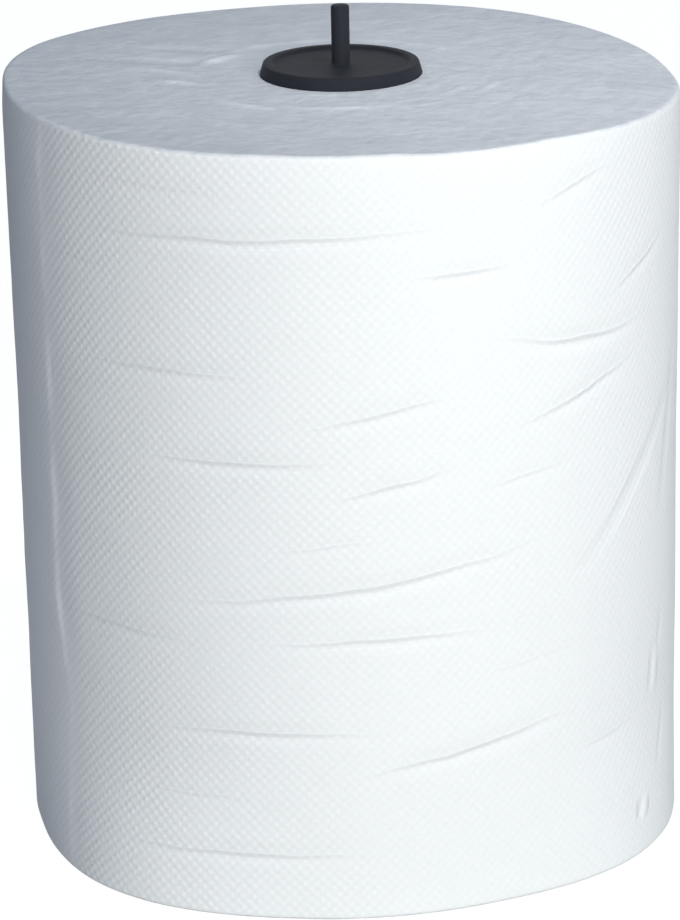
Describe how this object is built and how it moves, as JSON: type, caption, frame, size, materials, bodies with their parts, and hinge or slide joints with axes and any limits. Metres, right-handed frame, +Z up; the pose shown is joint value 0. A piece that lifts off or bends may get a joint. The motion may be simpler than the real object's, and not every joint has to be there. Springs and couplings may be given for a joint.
{
  "type": "paper towel roll",
  "caption": "Round roll of embossed paper hand towel on a cardboard core, standing on end, with a black moulded end plug and bearing pin at its top.",
  "frame": {"origin": "centre of the lower end face, on the roll's axis", "axes": "+Z up along the roll's axis, out through the bearing pin; -Y towards the front, where the creases are; the free edge of the last turn is at the left"},
  "size_m": [0.184, 0.184, 0.2289],
  "materials": {
    "paper": "matte",
    "cardboard": "matte",
    "black_plastic": "satin"
  },
  "bodies": {
    "root": {"paper_roll": "paper", "core_tube": "cardboard", "end_plug": "black_plastic"}
  },
  "joints": []
}
